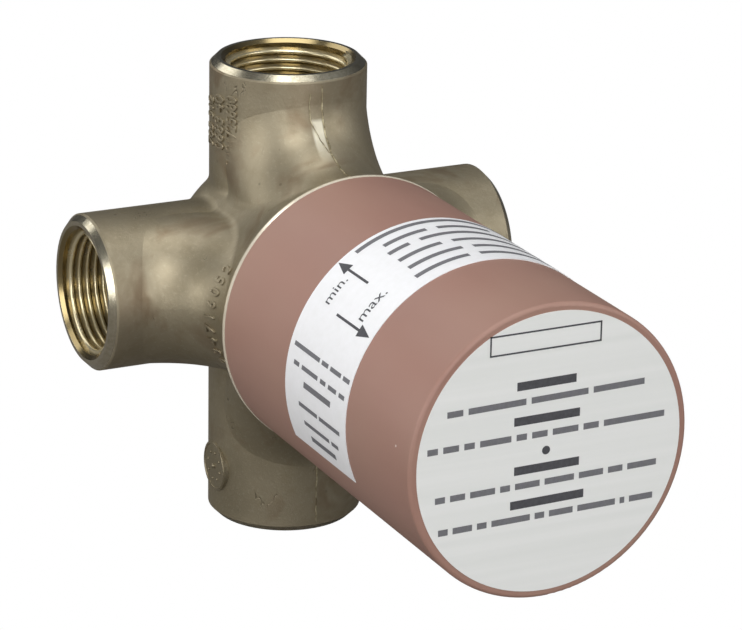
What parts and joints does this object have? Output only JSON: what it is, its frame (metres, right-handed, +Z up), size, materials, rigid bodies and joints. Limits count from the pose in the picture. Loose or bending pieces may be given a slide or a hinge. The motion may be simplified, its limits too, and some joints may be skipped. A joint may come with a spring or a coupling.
{
  "type": "concealed shower valve body",
  "caption": "Concealed four-way brass diverter valve body with threaded ports, ceramic-disc cartridge and a plastic protective sleeve for the wall opening.",
  "frame": {"origin": "on the bottom port's axis, where its thread starts 0.7 mm in from the end face", "axes": "+Z up along the bottom and top ports, -Y to the room along the spindle and sleeve, +X to the right as seen from the room; the spindle axis crosses the ports at z = 0.0543"},
  "size_m": [0.093, 0.1343, 0.101],
  "materials": {
    "cast_brass": "as-cast, dull",
    "turned_brass": "turned",
    "pin_steel": "plain",
    "seal_rubber": "moulded",
    "base_plastic": "moulded",
    "washer_plastic": "smooth",
    "disc_ceramic": "lapped",
    "sleeve_plastic": "moulded, satin",
    "label_paper": "coated"
  },
  "bodies": {
    "valve": {"valve_body": "cast_brass", "locating_pins": "pin_steel", "base_gasket": "seal_rubber", "cartridge_base": "base_plastic", "disc_gasket": "seal_rubber", "fixed_disc": "disc_ceramic", "glide_washer": "washer_plastic", "cartridge_housing": "turned_brass", "housing_o_ring": "seal_rubber", "slip_ring": "washer_plastic", "retaining_nut": "turned_brass"},
    "spindle_set": {"spindle": "turned_brass", "spindle_o_ring_back": "seal_rubber", "spindle_o_ring_front": "seal_rubber", "disc_driver": "base_plastic", "rotating_disc": "disc_ceramic", "thrust_washer": "washer_plastic", "circlip": "pin_steel"},
    "sleeve": {"protective_sleeve": "sleeve_plastic", "wrap_label": "label_paper", "front_label": "label_paper"}
  },
  "joints": [
    {"name": "spindle_turn", "type": "hinge", "parent": "valve", "child": "spindle_set", "pos_m": [0, -0.05, 0.0543], "axis": [0, 1, 0], "range_deg": [0, 270]},
    {"name": "sleeve_pull", "type": "slide", "parent": "valve", "child": "sleeve", "axis": [0, -1, 0], "range_m": [0, 0.06]}
  ]
}
